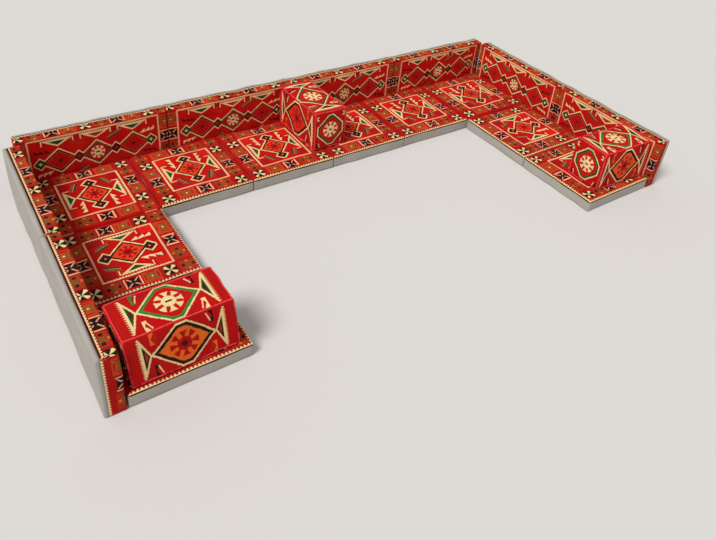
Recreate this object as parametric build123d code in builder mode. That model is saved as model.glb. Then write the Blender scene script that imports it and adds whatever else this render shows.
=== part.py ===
"""A majlis floor sofa: loose box cushions laid out as a U on the floor.

Ten square seat cushions lie flat, eight long back cushions stand on edge behind them, and
three bolsters lie on the seats as arm rests. Each cushion is a cut foam block in a sewn cover,
whose woven wool side faces the room and whose plain canvas side faces the floor or the wall.

Millimetres. +X runs along the row of backs to the right, +Y runs from the open front to that
row and +Z is up. The origin is on the floor, in the middle of the whole footprint.
"""
import os
from math import cos, radians, sin

from build123d import *

# Seat cushions, square, six along the row and two more down each side
SEAT_PITCH = 700
SEAT_THICKNESS = 106
SEAT_CROWN = 8
SEAT_SEAM_HEIGHT = 80
SEATS_IN_ROW = 6
SEATS_PER_SIDE = 2

# Back cushions, standing on a long edge; the row's are cut longer than the sides'
BACK_HEIGHT = 420
BACK_THICKNESS = 125
BACK_CROWN = 10
BACK_SEAM_DEPTH = 28
ROW_BACKS = 4
ROW_BACK_PITCH = 1072
SIDE_BACKS = 2
SIDE_BACK_PITCH = 1046
CORNER_GAP = 12
FLATTENED_EDGE = 6

# Arm bolsters: length, place from the left rear corner of the seats, turn, and how far the top
# has settled along and across the bolster
ARM_WIDTH = 295
ARM_HEIGHT = 330
ARM_CROWN = 8
ARM_BULGE = 4
ARM_TOP_INSET = 6
ARMS = (
    ("left_arm", 600, (330, -1925), 1.5, (-20, 20)),
    ("middle_arm", 545, (2130, -284), 92, (0, 0)),
    ("right_arm", 525, (3910, -1889), -2.5, (0, 0)),
)

# A crown's shape: the shoulder's share of the swell, how far the crowned block passes the walls,
# and how many crowns the walls pass its top
SHOULDER_SHARE = 0.35
CROWN_REACH = 20
WALL_SPARE = 3

# Sewing: how far a side is drawn in between its corners, how far an outline's sharp corners pass
# the pitch before they are rounded off, and the round of the sewn edges
DRAW_IN = 3
BOTTOM_TAPER = 3
PAST_PITCH = 2
EDGE_ROUND = 14
ARM_EDGE_ROUND = 22
WELT_WIDTH = 5
WELT_PROUD = 3
WELT_FROM_END = 9

# What the cover and its fibre wrap take up round the foam block
WRAP_SIDE = 10
WRAP_UNDER = 3
WRAP_TOP = 8
ARM_WRAP = 15

# Air between a cushion and the one behind or below it
CLEARANCE = 1
REST_GAP = 0.3

# Whole layout, measured from the left rear corner of the block of seats
BLOCK_WIDTH = SEATS_IN_ROW * SEAT_PITCH
SEAT_SIZE = SEAT_PITCH + PAST_PITCH
REAR_FACE = CLEARANCE + BACK_THICKNESS
FRONT_END = CORNER_GAP + SIDE_BACKS * SIDE_BACK_PITCH
CENTRE_X = BLOCK_WIDTH / 2
CENTRE_Y = (REAR_FACE - FRONT_END) / 2


def place(x, y, z, x_dir, z_dir):
    """The plane of a cushion's underside, from the left rear corner of the seats."""
    return Plane(origin=(x - CENTRE_X, y - CENTRE_Y, z), x_dir=x_dir, z_dir=z_dir)


def drawn_in_outline(length, width):
    """Four shallow arcs: cloth stands out at its corners and is drawn in between them."""
    x, y = length / 2, width / 2
    ThreePointArc((-x, -y), (0, DRAW_IN - y), (x, -y))
    ThreePointArc((x, -y), (x - DRAW_IN, 0), (x, y))
    ThreePointArc((x, y), (0, y - DRAW_IN), (-x, y))
    ThreePointArc((-x, y), (DRAW_IN - x, 0), (-x, -y))


def cushion_form(base, length, width, thickness, crown, edge_round, bulge=0, lean=(0, 0)):
    """The whole outside of a cushion that lies on its base plane, crowned side up.

    The lean is how far its top lies from straight above its base.
    """
    wall_top = thickness + WALL_SPARE * crown
    levels = [(0, BOTTOM_TAPER), (wall_top, 0)]
    if bulge:
        levels = [(0, bulge), (thickness / 2, 0), (wall_top, ARM_TOP_INSET)]
    with BuildPart() as walls:
        for height, inset in levels:
            risen = height / thickness
            middle = base.from_local_coords((lean[0] * risen, lean[1] * risen, height))
            with BuildSketch(Plane(middle, x_dir=base.x_dir, z_dir=base.z_dir)):
                with BuildLine():
                    drawn_in_outline(length - 2 * inset, width - 2 * inset)
                make_face()
        loft()

    # The crown swells from the ends to the middle, and each cross section of it is an arc
    past_x = length / 2 + CROWN_REACH + abs(lean[0])
    past_y = width / 2 + CROWN_REACH + abs(lean[1])
    with BuildPart() as crowned:
        for x, swell in ((-past_x, 0), (0, 1), (past_x, 0)):
            shoulder = thickness - crown * (1 - SHOULDER_SHARE * swell)
            ridge = thickness - crown * (1 - SHOULDER_SHARE) * (1 - swell)
            across = Plane(base.from_local_coords((x, 0, 0)), x_dir=base.y_dir, z_dir=base.x_dir)
            with BuildSketch(across):
                with BuildLine():
                    Polyline((-past_y, shoulder), (-past_y, -crown), (past_y, -crown), (past_y, shoulder))
                    ThreePointArc((past_y, shoulder), (0, ridge), (-past_y, shoulder))
                make_face()
        loft()

    with BuildPart() as form:
        add(walls.part)
        add(crowned.part, mode=Mode.INTERSECT)
        rim = form.edges().filter_by(lambda edge: level(edge, base) > thickness - 2 * crown)
        uprights = form.edges().filter_by(lambda edge: abs(level(edge, base) - thickness / 2) < thickness / 3)
        fillet(rim + uprights, radius=edge_round)
    return form.part


def level(edge, base):
    """How high the middle of an edge lies over a base plane."""
    return base.to_local_coords(edge.center()).Z


def foam_block(base, length, width, height, underside, slope):
    """The cut foam, a plain block that starts at a height over the base plane and follows the slope."""
    with BuildPart() as block:
        with BuildSketch(base.offset(underside)):
            Rectangle(length, width)
        extrude(amount=height * slope.length / slope.dot(base.z_dir), dir=slope)
    return block.part


def piece(form, foam, seam, keep):
    """One side of a cover: the form on one side of its seam plane, hollow for the foam."""
    with BuildPart() as cover:
        add(form)
        split(bisect_by=seam, keep=keep)
        add(foam, mode=Mode.SUBTRACT)
    return cover.part


def write(part, name):
    part.label = name
    export_step(part, f"parts/{name}.step")


def seat_cushion(name, x, y):
    """A seat: woven top that turns over the edge, canvas sides and underside."""
    base = place(x, y, 0, (1, 0, 0), (0, 0, 1))
    form = cushion_form(base, SEAT_SIZE, SEAT_SIZE, SEAT_THICKNESS, SEAT_CROWN, EDGE_ROUND)
    foam_size = SEAT_SIZE - 2 * WRAP_SIDE
    foam_height = SEAT_THICKNESS - SEAT_CROWN - WRAP_TOP - WRAP_UNDER
    foam = foam_block(base, foam_size, foam_size, foam_height, WRAP_UNDER, base.z_dir)
    seam = base.offset(SEAT_SEAM_HEIGHT)
    write(foam, f"{name}_foam")
    write(piece(form, foam, seam, Keep.TOP), f"{name}_woven_top")
    write(piece(form, foam, seam, Keep.BOTTOM), f"{name}_canvas_base")


def back_cushion(name, x, y, along, towards_room, pitch):
    """A back: woven on the room's side, its top and its ends, canvas behind, flat where it stands."""
    length = pitch + PAST_PITCH
    tall = BACK_HEIGHT + PAST_PITCH / 2 + FLATTENED_EDGE
    base = place(x, y, tall / 2 - FLATTENED_EDGE, along, towards_room)
    with BuildPart() as standing:
        add(cushion_form(base, length, tall, BACK_THICKNESS, BACK_CROWN, EDGE_ROUND))
        split(bisect_by=Plane.XY, keep=Keep.TOP)
    foam_length = length - 2 * WRAP_SIDE
    foam_width = BACK_HEIGHT - WRAP_SIDE - WRAP_UNDER
    foam_height = BACK_THICKNESS - BACK_CROWN - WRAP_TOP - WRAP_UNDER
    foam_base = place(x, y, WRAP_UNDER + foam_width / 2, along, towards_room)
    foam = foam_block(foam_base, foam_length, foam_width, foam_height, WRAP_UNDER, foam_base.z_dir)
    seam = base.offset(BACK_SEAM_DEPTH)
    write(foam, f"{name}_foam")
    write(piece(standing.part, foam, seam, Keep.TOP), f"{name}_woven_front")
    write(piece(standing.part, foam, seam, Keep.BOTTOM), f"{name}_canvas_rear")


def welt(larger_form, base, x, slope):
    """A sewn-in ring, sliced along the slope from a form that is a little larger than the bolster."""
    with BuildPart() as ring:
        with BuildSketch(base):
            with Locations((x, 0)):
                Rectangle(WELT_WIDTH, 2 * ARM_WIDTH)
        extrude(amount=2 * ARM_HEIGHT, dir=slope)
        add(larger_form, mode=Mode.INTERSECT)
    return ring.part


def arm_cushion(name, length, spot, turn, lean):
    """An arm bolster: one woven cover, with a welt sewn in round each end."""
    along = (cos(radians(turn)), sin(radians(turn)), 0)
    base = place(*spot, SEAT_THICKNESS + REST_GAP, along, (0, 0, 1))
    slope = base.x_dir * lean[0] + base.y_dir * lean[1] + base.z_dir * ARM_HEIGHT
    form = cushion_form(base, length, ARM_WIDTH, ARM_HEIGHT, ARM_CROWN, ARM_EDGE_ROUND, ARM_BULGE, lean)
    foam_height = ARM_HEIGHT - ARM_CROWN - ARM_WRAP - WRAP_UNDER
    foam = foam_block(base, length - 2 * ARM_WRAP, ARM_WIDTH - 2 * ARM_WRAP, foam_height, WRAP_UNDER, slope)
    grown = 2 * WELT_PROUD
    larger_form = cushion_form(
        base,
        length + grown,
        ARM_WIDTH + grown,
        ARM_HEIGHT + WELT_PROUD,
        ARM_CROWN,
        ARM_EDGE_ROUND + WELT_PROUD,
        ARM_BULGE,
        lean,
    )
    from_middle = length / 2 - WELT_FROM_END
    welts = [welt(larger_form, base, x, slope) for x in (-from_middle, from_middle)]
    with BuildPart() as cover:
        add(form)
        add(welts)
        split(bisect_by=base, keep=Keep.TOP)
        add(foam, mode=Mode.SUBTRACT)
    write(foam, f"{name}_foam")
    write(cover.part, f"{name}_woven_cover")


os.makedirs("parts", exist_ok=True)

# Seats: the row, then the two sides that run forward from its corner seats
half = SEAT_PITCH / 2
for column in range(SEATS_IN_ROW):
    seat_cushion(f"row_seat_{column + 1}", half + column * SEAT_PITCH, -half)
for number in range(SEATS_PER_SIDE):
    y = -half - (number + 1) * SEAT_PITCH
    seat_cushion(f"left_seat_{number + 1}", half, y)
    seat_cushion(f"right_seat_{number + 1}", BLOCK_WIDTH - half, y)

# Backs: the row's are centred on the seats, the sides' start just in front of the row's
for number in range(ROW_BACKS):
    x = BLOCK_WIDTH / 2 + (number - (ROW_BACKS - 1) / 2) * ROW_BACK_PITCH
    back_cushion(f"row_back_{number + 1}", x, REAR_FACE, (1, 0, 0), (0, -1, 0), ROW_BACK_PITCH)
for number in range(SIDE_BACKS):
    y = -CORNER_GAP - (number + 0.5) * SIDE_BACK_PITCH
    left_face, right_face = -REAR_FACE, BLOCK_WIDTH + REAR_FACE
    back_cushion(f"left_back_{number + 1}", left_face, y, (0, 1, 0), (1, 0, 0), SIDE_BACK_PITCH)
    back_cushion(f"right_back_{number + 1}", right_face, y, (0, -1, 0), (-1, 0, 0), SIDE_BACK_PITCH)

for arm in ARMS:
    arm_cushion(*arm)
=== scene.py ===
# %% [markdown]
# # A majlis floor sofa
#
# Twenty-one loose foam cushions set out in a U: ten square seats, eight long backs that
# stand on edge behind them and three bolsters that lie on the seats. The room side of every
# cushion is flat-woven wool with a kilim pattern, and the side that nobody leans on is plain
# grey canvas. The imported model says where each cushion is, and this script gives it its cloth.

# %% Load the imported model
import math

import bmesh
import bpy
import numpy as np
from mathutils import Matrix, Vector
from mathutils.bvhtree import BVHTree


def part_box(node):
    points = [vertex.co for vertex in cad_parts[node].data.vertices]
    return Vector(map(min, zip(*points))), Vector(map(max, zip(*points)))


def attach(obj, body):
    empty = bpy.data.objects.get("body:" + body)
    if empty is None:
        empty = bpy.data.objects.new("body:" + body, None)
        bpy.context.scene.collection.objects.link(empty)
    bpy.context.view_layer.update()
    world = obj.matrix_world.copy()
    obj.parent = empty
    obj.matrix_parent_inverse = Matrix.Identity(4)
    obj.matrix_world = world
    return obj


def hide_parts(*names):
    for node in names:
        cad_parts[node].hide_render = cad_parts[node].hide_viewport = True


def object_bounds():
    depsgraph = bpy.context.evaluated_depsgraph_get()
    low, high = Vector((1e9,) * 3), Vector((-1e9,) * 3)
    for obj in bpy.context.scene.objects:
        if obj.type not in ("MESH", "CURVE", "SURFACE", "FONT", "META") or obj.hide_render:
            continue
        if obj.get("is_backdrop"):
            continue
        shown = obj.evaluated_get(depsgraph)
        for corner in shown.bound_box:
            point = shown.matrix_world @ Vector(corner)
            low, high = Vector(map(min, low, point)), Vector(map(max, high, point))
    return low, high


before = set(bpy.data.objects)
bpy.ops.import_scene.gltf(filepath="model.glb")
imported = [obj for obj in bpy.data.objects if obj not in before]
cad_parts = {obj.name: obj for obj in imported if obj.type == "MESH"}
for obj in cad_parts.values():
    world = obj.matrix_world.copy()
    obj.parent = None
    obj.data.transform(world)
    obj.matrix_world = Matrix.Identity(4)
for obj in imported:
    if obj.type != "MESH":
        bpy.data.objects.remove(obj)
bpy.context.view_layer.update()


def put(name, data):
    """An object in the scene, made of a mesh, a curve, a camera or a lamp."""
    made = bpy.data.objects.new(name, data)
    bpy.context.scene.collection.objects.link(made)
    return made


# %% [markdown]
# ## The camera
#
# The sofa is seen from above the open front, from the left. A camera was fitted to the corners
# of the seats: it looks 37 degrees to the right of the row's own direction and 33 degrees down,
# and the picture is a little turned. The frame is 716 by 540 pixels, and the sofa fills its
# upper part, which is what the small vertical shift is for.

# %% The camera
FRAME_WIDTH = 716
FOCAL_PIXELS = 691.4
SENSOR = 36.0
YAW, PITCH, ROLL = 0.6409, 0.5748, -0.0944
CAMERA_PLACE = Vector((-2.590, -3.497, 3.034))
SHIFT_PIXELS = -107


def camera_axes(yaw, pitch, roll):
    """Right and up of the picture and the way the camera looks, as directions in the room."""
    level = math.cos(pitch)
    ahead = Vector((math.sin(yaw) * level, math.cos(yaw) * level, -math.sin(pitch)))
    level_right = Vector((math.cos(yaw), -math.sin(yaw), 0))
    down = ahead.cross(level_right)
    right = level_right * math.cos(roll) + down * math.sin(roll)
    return right, level_right * math.sin(roll) - down * math.cos(roll), ahead


camera_data = bpy.data.cameras.new("photo_camera")
camera_data.sensor_width = SENSOR
camera_data.lens = FOCAL_PIXELS / FRAME_WIDTH * SENSOR
camera_data.shift_y = SHIFT_PIXELS / FRAME_WIDTH
camera = put("photo_camera", camera_data)
right, up, ahead = camera_axes(YAW, PITCH, ROLL)
turned = Matrix((right, up, -ahead)).transposed().to_4x4()
camera.matrix_world = Matrix.Translation(CAMERA_PLACE) @ turned
bpy.context.scene.camera = camera
print("lens", round(camera_data.lens, 2), "mm")

# %% [markdown]
# ## Colours
#
# A kilim has few dyes: madder reds, indigo over weld for green, walnut for the darks and undyed
# wool for the creams. Colours are written as they are read off a screen, in sRGB hex, because
# that is easy to compare with a picture, and Blender wants linear light, so one function turns
# them over.

# %% Colours


def dye(hex_colour):
    """Linear RGBA of an sRGB hex colour."""
    parts = [int(hex_colour[i : i + 2], 16) / 255 for i in (1, 3, 5)]
    return [c / 12.92 if c < 0.04045 else ((c + 0.055) / 1.055) ** 2.4 for c in parts] + [1.0]


# Grounds and bands
RED = dye("#BE0806")
BRIGHT_RED = dye("#B60608")
SCARLET = dye("#D8160C")
ORANGE_RED = dye("#E0401A")
CRIMSON = dye("#A60A10")
DEEP_RED = dye("#8C0A0A")
BAND_RED = dye("#AC0A08")
# Painted highlight: a pale pink for the light on the bolsters' seam ridges
SEAM_HIGHLIGHT_PINK = dye("#EC5458")
# Motifs
MAROON = dye("#4A0A0A")
ROSE = dye("#DE9A84")
CREAM = dye("#E9CE92")
BEIGE = dye("#EAB084")
GREEN = dye("#1C7E38")
LEAF = dye("#27401F")
LEAF_LIGHT = dye("#A89878")
DARK_GREEN = dye("#1B4A22")
BLACK = dye("#1E0F0A")
ORANGE = dye("#E4661F")
RUST = dye("#A62C14")
BRICK = dye("#BC3E18")
OLIVE = dye("#6A5A28")
# Everything that isn't wool
CANVAS_GREY = dye("#ACA59C")
THREAD_GREY = dye("#8E8982")
FOAM_PALE, FOAM_CELL = dye("#EFE3BE"), dye("#D9C998")
FLOOR_GREY = dye("#D6D2CE")
print("madder red", [round(c, 3) for c in RED[:3]])

# %% [markdown]
# ## One function that adds a node
#
# Every material below is a tree of nodes. This function adds one node, gives its own fields
# their values and fills its sockets in order with numbers, colours or other nodes' results.
# A name in capitals is an operation of the Math node, so that a motif can be written as a
# formula of the cloth's own coordinates. Building trees by hand in the editor would do as well,
# but a kilim needs several hundred nodes, and a formula can be read and corrected.

# %% One function that adds a node


class Weave:
    """The node tree of one material, and the one function that adds to it."""

    def __init__(self, name):
        self.material = bpy.data.materials.new(name)
        self.material.use_nodes = True
        self.tree = self.material.node_tree
        self.tree.nodes.clear()

    def node(self, kind, *inputs, out=0, named=None, **settings):
        """Adds a node, sets its fields and fills its sockets. Returns one of its outputs."""
        if kind.isupper():
            kind, settings["operation"] = "Math", kind
        made = self.tree.nodes.new("ShaderNode" + kind)
        for field, value in settings.items():
            setattr(made, field, value)
        filled = list(zip(made.inputs, inputs))
        filled += [(made.inputs[key], value) for key, value in (named or {}).items()]
        for socket, value in filled:
            if isinstance(value, bpy.types.NodeSocket):
                self.tree.links.new(value, socket)
            elif value is not None:
                socket.default_value = value
        return made.outputs[out] if len(made.outputs) else None


trial = Weave("trial")
trial.node("OutputMaterial", trial.node("BsdfPrincipled", CREAM))
print("a plain material needs", len(trial.tree.nodes), "nodes")
bpy.data.materials.remove(trial.material)

# %% [markdown]
# ## The shape of a cushion
#
# A box cushion is a block of foam in a cover that is cut a little tight. Its faces crown, its
# edges roll over, and its sides pull in between the corners. It starts here as a bevelled
# block that is cut into a fine net of quads, with each quad knowing where it lies on the flat
# panel of cloth, in metres from the panel's centre, before the cloth is sewn and filled. Planes
# cut the net, because they reach all six faces at once and leave an edge loop just where the
# seam has to run. A subdivided cube would have no such loop.

# %% The block and its panel of cloth
CELL = 0.02
BEVEL_SEGMENTS = 3


def cuts_between(low, high, cell):
    """Where to cut so that no strip is much wider than a cell."""
    count = max(1, round((high - low) / cell))
    return [low + (high - low) * k / count for k in range(1, count)]


def cushion_net(length, width, thickness, rounding, seam_drop, cell):
    """A bevelled block that lies on its back, cut into quads, with an edge loop at the seam."""
    net = bmesh.new()
    bmesh.ops.create_cube(net, size=1)
    bmesh.ops.scale(net, vec=(length, width, thickness), verts=net.verts)
    bmesh.ops.translate(net, vec=(0, 0, thickness / 2), verts=net.verts)
    bmesh.ops.bevel(
        net, geom=net.edges[:], offset=rounding, offset_type="OFFSET", segments=BEVEL_SEGMENTS,
        profile=0.5, affect="EDGES", material=-1,
    )
    half = (length / 2 - rounding, width / 2 - rounding)
    levels = cuts_between(rounding, thickness - rounding, cell)
    if seam_drop:
        seam = thickness - seam_drop
        levels = [z for z in levels if abs(z - seam) > cell / 2] + [seam]
    places = [(0, x) for x in cuts_between(-half[0], half[0], cell)]
    places += [(1, y) for y in cuts_between(-half[1], half[1], cell)]
    places += [(2, z) for z in levels]
    for axis, place in places:
        point, normal = Vector(), Vector()
        point[axis], normal[axis] = place, 1
        geometry = net.verts[:] + net.edges[:] + net.faces[:]
        bmesh.ops.bisect_plane(net, geom=geometry, dist=1e-5, plane_co=point, plane_no=normal)
    bmesh.ops.recalc_face_normals(net, faces=net.faces[:])
    return net


def unroll(point, length, width, thickness, rounding):
    """Where a point of the block lies on the flat panel that folds over its upper face."""
    core = Vector((
        min(max(point.x, rounding - length / 2), length / 2 - rounding),
        min(max(point.y, rounding - width / 2), width / 2 - rounding),
    ))
    out = Vector((point.x, point.y)) - core
    rise = point.z - (thickness - rounding)
    if rise > 0:
        along = rounding * math.atan2(out.length, rise)
    else:
        along = rounding * math.pi / 2 - rise
    return core + out.normalized() * along if out.length > 1e-7 else core


print("a metre of cloth has", len(cuts_between(0, 1, CELL)) + 1, "cells")

# %% Reading and writing a mesh's places


def read(mesh):
    """The places of a mesh's vertices, as an array with a row for each."""
    flat = np.empty(len(mesh.vertices) * 3)
    mesh.vertices.foreach_get("co", flat)
    return flat.reshape(-1, 3)


def write(mesh, places):
    """Moves a mesh's vertices to new places."""
    mesh.vertices.foreach_set("co", places.ravel())
    mesh.update()


def normals(mesh):
    """Which way a mesh's surface faces at each vertex."""
    flat = np.empty(len(mesh.vertices) * 3)
    mesh.vertex_normals.foreach_get("vector", flat)
    return flat.reshape(-1, 3)


def keep_in(places, size):
    """Places held inside the cushion's own space, which flattens it against its neighbours."""
    half = np.array([size[0] / 2, size[1] / 2])
    places[:, :2] = np.clip(places[:, :2], -half, half)
    places[:, 2] = np.clip(places[:, 2], 0, size[2])
    return places


def applied(piece):
    """The piece as its modifiers leave it."""
    return piece.evaluated_get(bpy.context.evaluated_depsgraph_get())


print("a place 2 m up in a box of 1 m becomes", keep_in(np.array([[0.0, 0.0, 2.0]]), (1, 1, 1))[0])

# %% [markdown]
# ## Filling the cover
#
# Blender's Cloth blows the net up like a cushion: pressure pushes every face out, and the
# threads hold the edges back, which is what pulls the sides in between the corners. A dome could
# be written as a formula, but its corners would look pressed rather than sewn. Foam is stiffer
# than air, so only a share of the movement is kept: upwards as much as the model's crown, and
# sideways two millimetres. Each size of cushion is simulated once.

# %% Filling the cover
SIMULATED_FRAMES = 20
DRAWN_IN = 0.002
CLOTH = {
    "quality": 5, "mass": 0.3, "tension_stiffness": 15, "compression_stiffness": 15,
    "shear_stiffness": 5, "bending_stiffness": 0.5, "use_pressure": True,
    "uniform_pressure_force": 4.0,
}


def swell(mesh):
    """How far each vertex moves when the cover is filled, as an array of vectors."""
    rest = read(mesh)
    blown = put("filling", mesh.copy())
    cloth = blown.modifiers.new("Cloth", "CLOTH")
    for field, value in CLOTH.items():
        setattr(cloth.settings, field, value)
    cloth.settings.effector_weights.gravity = 0
    cloth.collision_settings.use_collision = False
    for step in range(1, SIMULATED_FRAMES + 1):
        bpy.context.scene.frame_set(step)
    moved = read(applied(blown).data) - rest
    bpy.context.scene.frame_set(1)
    bpy.data.objects.remove(blown)
    return moved


print("filled for", SIMULATED_FRAMES, "frames, pressure", CLOTH["uniform_pressure_force"])

# %% [markdown]
# ## One template for each size of cushion
#
# The seats are all one size, the row's backs are a little longer than the sides' backs, and each
# bolster has a length of its own. Every size is made once, lying on its back with its length
# along X. What pressure did to the net is scaled to the crown, the net is smoothed by one level
# of subdivision, and the seam is drawn in a little, as the stitching does. Nothing may leave the
# space that the cushion has in the model.

# %% Templates
EASE = 0.001
SEAM_GROOVE = 0.0015
SEAM_REACH = 0.007
FACE_APART = 1.0
FACING_END, FACING_UP = 0.71, 0.70


def face_map(point, normal, block):
    """A panel of its own on each face: they lie a metre apart on the map, the end panels last."""
    offset = Vector((point.x, point.y, point.z - block[2] / 2))
    if abs(normal.x) > FACING_END:
        return (offset.y, offset.z + 2 * FACE_APART)
    if abs(normal.z) > FACING_UP:
        return (offset.x, offset.y)
    return (offset.x, offset.z + FACE_APART)


def template(name, size, rounding, crown, seam_drop=0.0, cell=CELL, faces_apart=False):
    """A filled cushion as a mesh that knows its cloth map, its parts and its heights at rest."""
    length, width, thickness = (s - 2 * EASE for s in size)
    net = cushion_net(length, width, thickness - crown, rounding, seam_drop, cell)
    block = (length, width, thickness - crown, rounding)
    cloth_map = net.loops.layers.uv.new("cloth")
    part = net.faces.layers.int.new("part")
    level = net.verts.layers.float.new("rest_height")
    for vertex in net.verts:
        vertex[level] = vertex.co.z
    for face in net.faces:
        middle = face.calc_center_median()
        face[part] = int(bool(seam_drop) and middle.z < thickness - crown - seam_drop)
        for loop in face.loops:
            if faces_apart:
                loop[cloth_map].uv = face_map(loop.vert.co, face.normal, block)
            else:
                loop[cloth_map].uv = unroll(loop.vert.co, *block)
    mesh = bpy.data.meshes.new(name)
    net.to_mesh(mesh)
    net.free()
    moved = swell(mesh)
    top, side = moved[:, 2].max(), np.abs(moved[:, :2]).max()
    moved[:, 2] *= crown / top
    moved[:, :2] *= DRAWN_IN / max(side, DRAWN_IN)
    place = read(mesh) + moved
    place[:, 2] += EASE
    write(mesh, keep_in(place, size))
    smooth = put(name, mesh)
    layer = smooth.modifiers.new("Subdivision", "SUBSURF")
    layer.levels = layer.render_levels = 1
    layer.uv_smooth = "NONE"
    made = bpy.data.meshes.new_from_object(applied(smooth))
    made.name = name
    bpy.data.objects.remove(smooth)
    if seam_drop:
        heights = np.empty(len(made.vertices))
        made.attributes["rest_height"].data.foreach_get("value", heights)
        depth = thickness - crown - seam_drop - heights
        near = np.clip(1 - np.abs(depth) / SEAM_REACH, 0, 1) ** 2
        write(made, read(made) - normals(made) * (near * SEAM_GROOVE)[:, None])
        below = made.attributes.new("below_seam", "FLOAT", "POINT")
        below.data.foreach_set("value", depth)
    print(name, len(made.polygons), "quads, filled by", round(top * 1000, 1), "mm")
    return made


# %% The sizes that the model gives
SEAT_PARTS = ("woven_top", "canvas_base")
BACK_PARTS = ("woven_front", "canvas_rear")
ARM_WIDTH, ARM_HEIGHT, ARM_ROUNDING = 0.295, 0.330, 0.015
ROUNDING = 0.011
SEAT_CROWN, BACK_CROWN, ARM_CROWN = 0.008, 0.006, 0.008
SEAT_SEAM_HEIGHT, BACK_SEAM_DEPTH = 0.080, 0.028


def space_of(name, parts):
    """Lowest and highest corner of a cushion in the model."""
    corners = [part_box(f"{name}_{part}") for part in parts]
    return Vector(map(min, *(c[0] for c in corners))), Vector(map(max, *(c[1] for c in corners)))


low, high = space_of("row_seat_4", SEAT_PARTS)
SEAT_SIZE = tuple(high - low)
low, high = space_of("row_back_2", BACK_PARTS)
BACK_SIZE = (high.x - low.x, high.z - low.z, high.y - low.y)
low, high = space_of("left_back_1", BACK_PARTS)
SIDE_BACK_SIZE = (high.y - low.y, high.z - low.z, high.x - low.x)
for kind, size in (("seat", SEAT_SIZE), ("row back", BACK_SIZE), ("side back", SIDE_BACK_SIZE)):
    print("a", kind, "measures", [round(s, 4) for s in size])

# %% [markdown]
# ## Motifs
#
# Kilims are woven by counting threads, so every slope is a flight of small steps. The map of
# the cloth is rounded to knots of a few millimetres, and each motif is a formula of the
# rounded place. Most of them rest on one idea, the depth: how far inside an outline a place
# lies, in metres. A ring of an even width is then simply where the depth lies between two
# values. Colours are laid over each other, ground first. The bare numbers in the motifs are
# measures on the cloth in metres, read off the photograph. A painted picture of the cloth would
# be quicker to use, but it blurs close up, and formulas stay sharp at every distance.

# %% Motifs
KNOT = 0.004
LINE = 0.010
TOOTH = 0.008


def cloth_place(w):
    """Across and along the panel, in metres, rounded to knots."""
    across = w.node("SeparateXYZ", w.node("UVMap", uv_map="cloth"))
    along = across.node.outputs[1]
    return [w.node("SNAP", w.node("ADD", value, KNOT / 2), KNOT) for value in (across, along)]


def lay(w, ground, colour, *tests):
    """The ground, with a colour woven in where every test says 1, or partly where it says less."""
    where = tests[0]
    for test in tests[1:]:
        where = w.node("MULTIPLY", where, test)
    return w.node("Mix", data_type="RGBA", named={0: where, 6: ground, 7: colour}, out=2)


def patch(w, u, v, middle_u, middle_v, half_u, half_v):
    """1 inside a rectangle."""
    in_u, in_v = w.node("COMPARE", u, middle_u, half_u), w.node("COMPARE", v, middle_v, half_v)
    return w.node("MULTIPLY", in_u, in_v)


def past(w, u, v, half_u, half_v):
    """How far a place lies outside a rectangle round the middle, along u and along v."""
    sides = (u, half_u), (v, half_v)
    return [w.node("SUBTRACT", w.node("ABSOLUTE", value), half) for value, half in sides]


def lozenge(w, u, v, reach, clip_u=None, clip_v=None, steep=1.0):
    """The depth inside a lozenge, whose tips can be cut off. u and v are distances from it."""
    spare = w.node("SUBTRACT", w.node("SUBTRACT", reach, u), w.node("MULTIPLY", v, steep))
    depth = w.node("MULTIPLY", spare, 1 / math.hypot(1, steep))
    for value, clip in ((u, clip_u), (v, clip_v)):
        if clip is not None:
            depth = w.node("MINIMUM", depth, w.node("SUBTRACT", clip, value))
    return depth


def rings(w, cloth, depth, layers, *tests):
    """Rings of colour from the outline inwards, each of which starts at a depth of its own."""
    for start, colour in layers:
        cloth = lay(w, cloth, colour, w.node("GREATER_THAN", depth, start), *tests)
    return cloth


def saw(w, along, pitch, height):
    """The height of a row of pointed teeth."""
    return w.node("MULTIPLY", w.node("PINGPONG", along, pitch / 2), 2 * height / pitch)


print("a seat is", round(SEAT_SIZE[0] / KNOT), "knots wide, a line", round(LINE / KNOT, 1), "knots")

# %% [markdown]
# ## Blades and snowflakes
#
# Two motifs come back on every cushion. A blade is a long triangle whose point is turned to the
# middle and whose base has teeth. A snowflake is a rosette of eight petals. Its petals are where
# a cosine of the angle is above a limit, and the limit falls outwards, so they grow broader.

# %% Blades and snowflakes
PETALS = 8
PETAL_LIMIT, PETAL_FALL = 1.85, 2.5
HEART = 0.52
SLOT = (0.24, 0.10)


def slanted_teeth(w, along, start, pitch, height):
    """The height of a comb's teeth, which rise evenly and drop at once."""
    share = w.node("FRACT", w.node("DIVIDE", w.node("SUBTRACT", along, start), pitch))
    return w.node("MULTIPLY", share, height)


def blade(w, cloth, u, v, base, apex, half, teeth, layers, *tests):
    """A long triangle on each side of the middle: a toothed base at v = base, a point inside."""
    share = w.node("DIVIDE", w.node("SUBTRACT", v, apex), base - apex)
    lean = (base - apex) / math.hypot(half, base - apex)
    side = w.node("MULTIPLY", w.node("SUBTRACT", w.node("MULTIPLY", share, half), u), lean)
    inside = w.node("SUBTRACT", base, v)
    toothed = w.node("MINIMUM", side, w.node("ADD", inside, saw(w, u, *teeth)))
    under = w.node("LESS_THAN", u, half)
    cloth = lay(w, cloth, CREAM, w.node("GREATER_THAN", toothed, 0), under, *tests)
    return rings(w, cloth, w.node("MINIMUM", side, inside), layers, *tests)


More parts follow.
